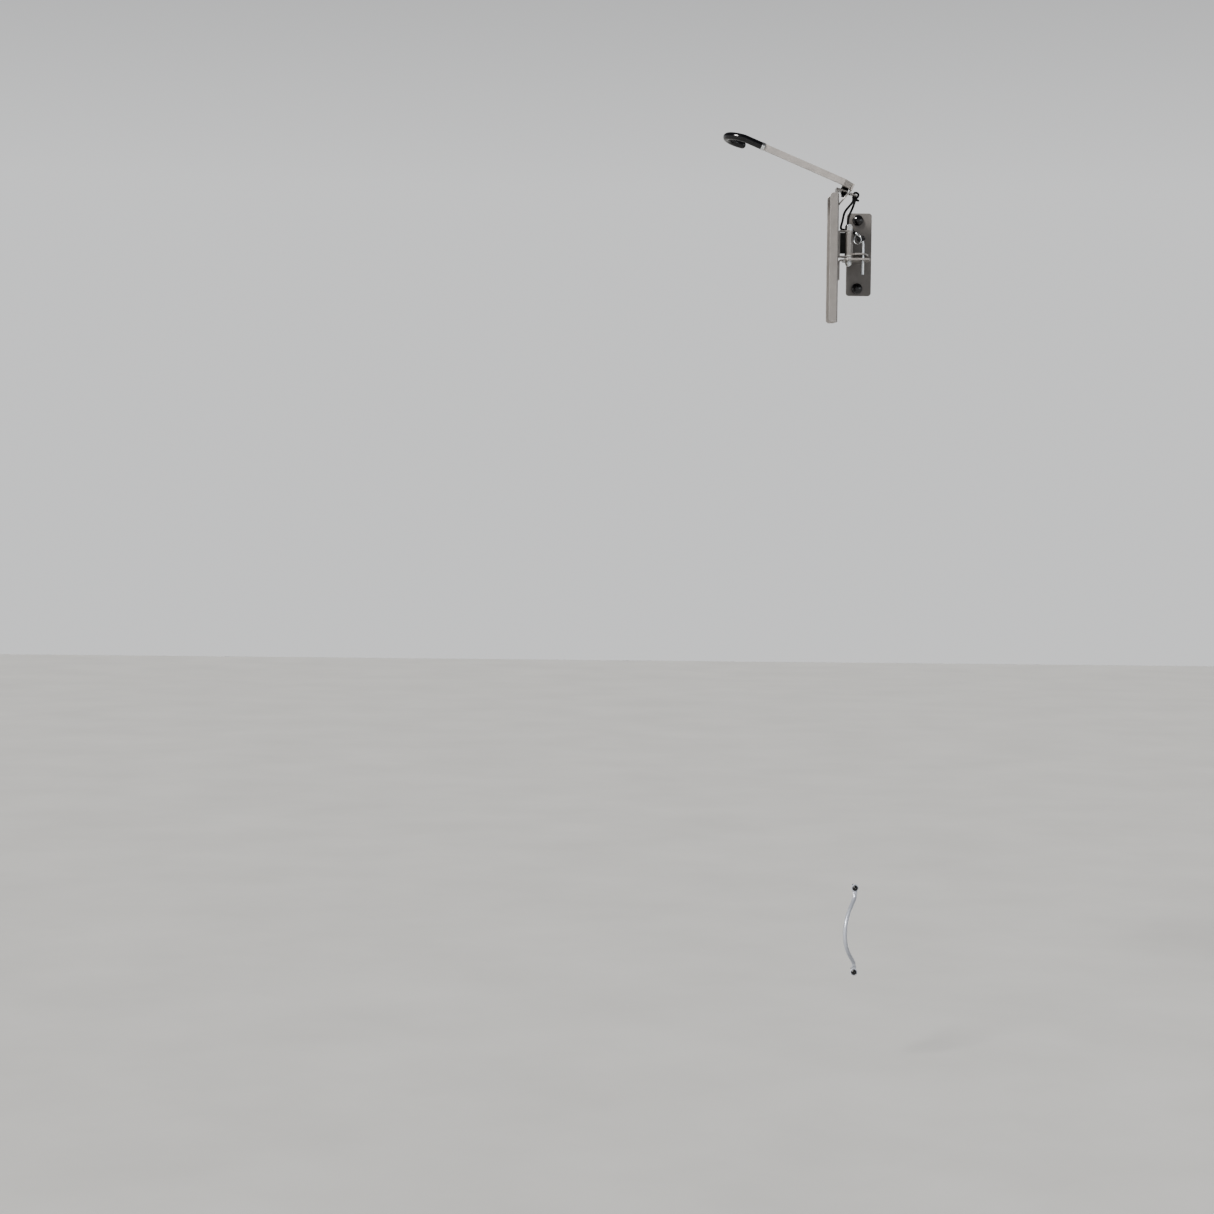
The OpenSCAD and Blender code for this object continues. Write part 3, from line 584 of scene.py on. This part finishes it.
def screw_caps():
    """Domed caps with a rolled rim and a shallow ring moulded round the crown."""
    low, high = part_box("screw_caps")
    r = (high.x - low.x) / 2
    base, crown = -high.y, -low.y
    rise = crown - base
    profile = [(r - CAP_WALL, base), (r - 0.25 * MM, base), (r, base + 0.3 * MM), (r, base + 0.30 * rise)]
    steps = 15
    for k in range(1, steps):
        angle = math.radians(90 * k / steps)
        dip = 0.12 * MM if k in (9, 10) else 0
        profile.append((r * math.cos(angle) ** 0.86 - dip,
                        base + rise * (0.30 + 0.70 * math.sin(angle)) - dip))
    profile.append((0, crown))
    inner = [(0, base + 0.72 * rise), (0.55 * r, base + 0.66 * rise), (r - CAP_WALL, base + 0.35 * rise),
             (r - CAP_WALL, base)]
    cap = lathe_mesh("screw_cap", profile + inner)
    screw_pair("screw_cap_pair", cap, screw_places("screw_caps", r), "black_plastic", "screw_caps")


# ---- rear bumper ---------------------------------------------------------------

# the bar's bow: millimetres from an eye's screw toward the middle, and the bulge's share there
BUMPER_BOW = [(0, 0), (6, 0), (10, 0.004), (15, 0.035), (20, 0.15), (26, 0.34), (33, 0.545),
              (40, 0.715), (48, 0.86), (56, 0.95), (63, 0.99), (69.1, 1)]
BUMPER_SIDES = 32


def bumper_line(top, bottom, eye_r, x, bar_r, bulge):
    """The bar's middle line, from the upper eye's end to the lower eye's."""
    half = [Vector((x, -bar_r, top - down * MM)) + bulge * share for down, share in BUMPER_BOW]
    other = [Vector((p.x, p.y, top + bottom - p.z)) for p in reversed(half[:-1])]
    ends = [Vector((x, -bar_r, z)) for z in (top + eye_r, bottom - eye_r)]
    return smooth_line([ends[0], *half, *other, ends[1]], 8)


def bumper_bar():
    """Bowed round bar whose ends are hammered flat into eyes round the screws."""
    low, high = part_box("bumper_bar")
    eye_r, bar_r = 6 * MM, 3.2 * MM
    flat_from, flat_run = 14 * MM, 9 * MM  # where the bar starts to flatten, and over how far
    top, bottom = high.z - eye_r, low.z + eye_r
    x = high.x - eye_r
    bulge = Vector((low.x + bar_r - x, low.y + bar_r + bar_r, 0))
    line = bumper_line(top, bottom, eye_r, x, bar_r, bulge)
    bm = bmesh.new()
    rings = []
    forward = Vector((0, -1, 0))
    for (tangent, _, _), point in zip(frames_along(line), line):
        from_eye = min(abs(point.z - top), abs(point.z - bottom))
        beyond = point.z > top or point.z < bottom
        flat = 1 if beyond else max(0, min(1, (flat_from - from_eye) / flat_run))
        flat = flat * flat * (3 - 2 * flat)
        across = math.sqrt(max(0, eye_r ** 2 - from_eye ** 2))
        neck = bar_r * (1 + 0.22 * flat)
        wide = max(across, 0.02 * MM if beyond else neck)
        thick = bar_r + (EYE_T / 2 - bar_r) * flat
        out = (forward - tangent * forward.dot(tangent)).normalized()
        side = tangent.cross(out)
        centre = point + forward * (thick - bar_r)
        power = 2 / (2 + 3 * flat)  # 1 is round, and a smaller power is squarer
        ring = []
        for k in range(BUMPER_SIDES):
            angle = 2 * math.pi * k / BUMPER_SIDES
            c, s = math.cos(angle), math.sin(angle)
            ring.append(bm.verts.new(
                centre + side * wide * math.copysign(abs(c) ** power, c)
                + out * thick * math.copysign(abs(s) ** power, s)))
        rings.append(ring)
    skin(bm, rings)
    finish_piece("rear_bumper", solid_of(bm, "rear_bumper"), "silver_coat", "wall", ["bumper_bar"])


# ---- cord ----------------------------------------------------------------------

CORD_R = 0.0017
# from the lashing on the pin up to the tongue, round its edge through the hole, and back,
# in the hinge's frame
CORD_ROUTE = [
    (0.0158, 0.0030, 0.0211), (0.0142, 0.0042, 0.0238), (0.0116, 0.0054, 0.0268),
    (0.0082, 0.0066, 0.0306), (0.0035, 0.0079, 0.0350), (0.0000, 0.0082, 0.0400),
    (-0.0008, 0.0074, 0.0460), (0.0010, 0.0056, 0.0553), (0.0058, 0.0036, 0.0670),
    (0.0088, 0.0022, 0.0760), (0.0106, 0.0020, 0.0815), (0.0139, 0.0010, 0.0849),
    (0.0143, 0.0000, 0.0884), (0.0111, -0.0003, 0.0906), (0.0079, -0.0004, 0.0898),
    (0.0067, -0.0005, 0.0868), (0.0069, -0.0016, 0.0828), (0.0066, -0.0019, 0.0780),
    (0.0030, -0.0016, 0.0726), (-0.0063, 0.0010, 0.0606), (-0.0100, 0.0030, 0.0455),
    (-0.0120, 0.0042, 0.0374), (-0.0106, 0.0064, 0.0342), (-0.0056, 0.0090, 0.0336),
    (0.0005, 0.0102, 0.0334), (0.0056, 0.0106, 0.0318), (0.0096, 0.0100, 0.0284),
    (0.0132, 0.0086, 0.0242), (0.0164, 0.0066, 0.0198), (0.0189, 0.0040, 0.0165),
]
CORD_STEPS = 12  # stations for each leg of the route
CORD_SPLITS = (6, 20)  # the route's points where its upper loop begins and ends
# centre of the knot under the tongue, in metres from the hinge's axis
KNOT = (0.0084, 0, 0.0812)
KNOT_STEPS = 96
RIB_HEIGHT, RIB_WIND = 0.035, 260  # share of the cord's radius, and radians from end to end


def cord_radius(share, angle):
    """A braid's outline: low ribs that wind round the cord both ways."""
    wind = RIB_WIND * share
    return CORD_R * (1 + RIB_HEIGHT * math.sin(3 * angle + wind) * math.sin(3 * angle - wind))


def cord_stretch(name, line, nodes=()):
    """One stretch of the tether, a fixed mesh where it lies."""
    obj = finish_piece(name, tube_mesh(name, line, cord_radius), "cord", nodes=nodes)
    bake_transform(obj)


def lanyard():
    """Slack tether of the lock pin: up through the tongue's hole and back to the pin.
    """
    line = smooth_line([HINGE + Vector(p) for p in CORD_ROUTE], CORD_STEPS)
    first, second = (split * CORD_STEPS for split in CORD_SPLITS)
    cord_stretch("pin_lanyard", line[first:second + 1], ["lanyard"])
    cord_stretch("lanyard_foot_a", line[:first + 1])
    cord_stretch("lanyard_foot_b", line[:second - 1:-1])


def overhand(centre, turn, size):
    """A closed overhand loop about a centre: the path a cord takes in a small knot."""
    loop = []
    for k in range(KNOT_STEPS):
        t = 2 * math.pi * k / KNOT_STEPS
        trefoil = Vector((math.sin(t) + 2 * math.sin(2 * t), math.cos(t) - 2 * math.cos(2 * t),
                          -1.15 * math.sin(3 * t)))
        loop.append(centre + turn @ (trefoil * size))
    return loop


def cord_end(share, angle):
    """Radius of a loose end: full, then drawn in where it's cut and sealed."""
    sealed = max(0, share - 0.85)
    return CORD_R * (1 - 1.9 * sealed)


def lanyard_knot():
    """Overhand knot drawn tight under the tongue, with a cut and sealed tail."""
    centre = HINGE + Vector(KNOT)
    turn = Matrix.Rotation(math.radians(20), 3, "Y") @ Matrix.Rotation(math.radians(70), 3, "X")
    size, cord_r = 1.05 * MM, 1.75 * MM
    knot = tube_mesh("knot_loop", overhand(centre, turn, size), cord_r, closed=True)
    tail_way = [(1, 0.2, -1.4), (3.2, 0.4, -2.2), (5.3, 0.2, -2.6), (7.0, -0.3, -3.4)]
    tail_line = smooth_line([centre + Vector(p) * MM for p in tail_way], 8)
    tail = tube_mesh("knot_tail", tail_line, cord_end)
    mesh = joined("tied_knot", [(knot, Matrix.Identity(4)), (tail, Matrix.Identity(4))])
    finish_piece("tied_knot", mesh, "cord", "head", ["lanyard_knot"])


# where the pin's upright leg ends and its bend starts: millimetres in the hinge's frame
PIN_TOP = (22.86, -2.52, 8.6)
PIN_BEND_R = 18 * MM
PIN_WAY = 197.6  # direction in which the pin bends, in degrees from +X toward +Y
LASH_TURNS, LASH_STEPS = 2.6, 110
LASH_START, LASH_SPAN = 24.5, 14  # degrees along the pin's bend
LASH_R, LASH_CORD_R = 3.75 * MM, 1.55 * MM
# knots: degrees along the bend, millimetres inward of the pin's middle, size and cord's
# radius in millimetres, and degrees turned about +Z
LASH_KNOTS = [(42, 4.8, 0.70, 1.5, 35), (33, 4.4, 0.60, 1.4, -20)]


def on_pin_bend(angle):
    """Middle of the pin where its bend has turned by this angle, the way it runs, and inward."""
    way = math.radians(PIN_WAY)
    lean = Vector((math.cos(way), math.sin(way), 0))
    up = Vector((0, 0, 1))
    a = math.radians(angle)
    point = at_hinge(*PIN_TOP) + PIN_BEND_R * ((1 - math.cos(a)) * lean + math.sin(a) * up)
    return point, math.sin(a) * lean + math.cos(a) * up, math.cos(a) * lean - math.sin(a) * up


def lash_coil():
    """Middle line of the cord where it's wound round the pin's bend."""
    coil = []
    for i in range(LASH_STEPS + 1):
        share = i / LASH_STEPS
        point, along, inward = on_pin_bend(LASH_START + LASH_SPAN * share)
        side = along.cross(inward)
        angle = 2 * math.pi * LASH_TURNS * share
        coil.append(point + (inward * math.cos(angle) + side * math.sin(angle)) * LASH_R)
    return coil


def pin_lashing():
    """Turns of cord whipped round the pin's bend and knotted on its inner side."""
    pieces = [tube_mesh("lash_coil", lash_coil(), LASH_CORD_R)]
    for angle, out, size, radius, spin in LASH_KNOTS:
        point, _, inward = on_pin_bend(angle)
        turn = Matrix.Rotation(math.radians(spin), 3, "Z") @ Matrix.Rotation(math.radians(75), 3, "X")
        loop = overhand(point + inward * out * MM, turn, size * MM)
        pieces.append(tube_mesh("lash_knot", loop, radius * MM, closed=True))
    mesh = joined("handle_lashing", [(piece, Matrix.Identity(4)) for piece in pieces])
    finish_piece("handle_lashing", mesh, "cord", "pin", ["pin_lashing"])


# ---- welds ---------------------------------------------------------------------

RIPPLE = 1.1 * MM  # length of one weld ripple


def weld_bead(name, line, radius, body):
    """A run of overlapping weld ripples along a seam."""
    random.seed(name)
    shift = random.random() * 10
    length = sum((b - a).length for a, b in zip(line, line[1:]))
    ripples = length / RIPPLE

    def outline(share, angle):
        scale = 0.86 + 0.14 * abs(math.sin(math.pi * ripples * share))
        wobble = 0.08 * noise.noise(Vector((share * 12 + shift, angle, 0)))
        end = min(1, 0.35 + 12 * share, 0.35 + 12 * (1 - share))
        return radius * (scale + wobble) * end

    mesh = tube_mesh(name, line, outline, sides=14)
    finish_piece(name, mesh, "champagne_coat", body)


def line_between(a, b, count=160):
    return [a.lerp(b, i / count) for i in range(count + 1)]


def welds():
    """Beads that hold the web to the plate and the tube, the lug to the plate, and the arm's tail."""
    web_low, web_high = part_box("hinge_web")
    lug_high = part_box("stop_lug")[1]
    plate_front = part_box("wall_plate")[0].y
    seam = web_high.x + 0.2 * MM
    low = Vector((seam, plate_front, web_low.z + MM))
    high = Vector((seam, plate_front, web_high.z - MM))
    weld_bead("weld_web_plate", line_between(low, high), 1.5 * MM, "wall")
    tube_seam = (6.4, 3.6)  # where the web's face meets the tube
    low, high = (at_hinge(*tube_seam, z) for z in (-3.6, 24.5))
    weld_bead("weld_tube_upper", line_between(low, high), 1.1 * MM, "wall")
    left = Vector((web_high.x + 2 * MM, plate_front, lug_high.z))
    right = Vector((lug_high.x - MM, plate_front, lug_high.z))
    weld_bead("weld_lug_plate", line_between(left, right), 1.3 * MM, "wall")
    tail_half = 6.1
    for name, y in (("weld_tail_front", -tail_half), ("weld_tail_back", tail_half)):
        low, high = at_hinge(-16.6, y, 70.5), at_hinge(-14.2, y, 74.5)
        weld_bead(name, line_between(low, high, 40), 0.9 * MM, "head")


# ---- light and camera ----------------------------------------------------------

def shine(light, place, way):
    """Adds a light at a place that shines one way."""
    obj = bpy.data.objects.new(light.name, light)
    obj.location = place
    obj.rotation_euler = Vector(way).to_track_quat("-Z", "Y").to_euler()
    bpy.context.scene.collection.objects.link(obj)


def lights():
    """A warm sun from the upper left in front, and a weak cool disk from the right."""
    key = bpy.data.lights.new("key", "SUN")
    key.energy = 4.4
    key.angle = math.radians(14)
    key.color = (1.0, 0.98, 0.95)
    shine(key, (0, 0, 0), (0.50, 0.62, -0.60))
    fill = bpy.data.lights.new("fill", "AREA")
    fill.shape = "DISK"
    fill.size = 2.0
    fill.energy = 12
    fill.color = (0.93, 0.96, 1.0)
    place, target = Vector((2.4, -2.6, 0.5)), Vector((0, 0, -0.5))
    shine(fill, place, target - place)


def surroundings():
    """A world that is pale at eye level and below, and dim overhead."""
    world = bpy.data.worlds.new("studio")
    bpy.context.scene.world = world
    world.use_nodes = True
    tree = world.node_tree
    background = tree.nodes["Background"]
    background.inputs["Strength"].default_value = 0.9
    place = tree.nodes.new("ShaderNodeTexCoord")
    parts = tree.nodes.new("ShaderNodeSeparateXYZ")
    height = tree.nodes.new("ShaderNodeValToRGB")
    stops = [(0.12, (0.74, 0.745, 0.75, 1)), (0.40, (0.10, 0.10, 0.105, 1))]
    for element, (position, colour) in zip(height.color_ramp.elements, stops):
        element.position = position
        element.color = colour
    tree.links.new(place.outputs["Generated"], parts.inputs["Vector"])
    tree.links.new(parts.outputs["Z"], height.inputs["Fac"])
    tree.links.new(height.outputs["Color"], background.inputs["Color"])


def contrast():
    """A little more contrast than the default view, as a daylight photograph has."""
    bpy.context.scene.view_settings.look = "AgX - Medium High Contrast"


def floor():
    """A wide pale floor, a little below the bumper."""
    drop = 0.16
    bm = bmesh.new()
    bmesh.ops.create_grid(bm, x_segments=8, y_segments=8, size=9)
    mesh = mesh_of(bm, "floor")
    obj = bpy.data.objects.new("floor", mesh)
    obj.location = (0, 0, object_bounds()[0][2] - drop)
    mesh.materials.append(floor_finish())
    bpy.context.scene.collection.objects.link(obj)
    obj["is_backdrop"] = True


CAMERA_PLACE = (-0.3989, -3.883, -0.3673)
CAMERA_PITCH, CAMERA_ROLL = math.radians(-3.0), 0.01


def camera():
    """At the photograph's viewpoint: to the rack's left, and between its plate and its bumper."""
    data = bpy.data.cameras.new("camera")
    data.sensor_width = 36
    data.lens = 71.17
    data.clip_end = 50
    obj = bpy.data.objects.new("camera", data)
    ahead = Vector((0, math.cos(CAMERA_PITCH), math.sin(CAMERA_PITCH)))
    level = Vector((1, 0, 0))
    right = (level + level.cross(ahead) * CAMERA_ROLL).normalized()
    up = right.cross(ahead)
    turn = Matrix((right, up, -ahead)).transposed().to_4x4()
    obj.matrix_world = Matrix.Translation(CAMERA_PLACE) @ turn
    bpy.context.scene.collection.objects.link(obj)
    bpy.context.scene.camera = obj


camera()
lanyard()
lanyard_knot()
pin_lashing()
paint_cad_nodes()
wall_screws()
bumper_screws()
screw_caps()
bumper_bar()
welds()
floor()
lights()
surroundings()
contrast()
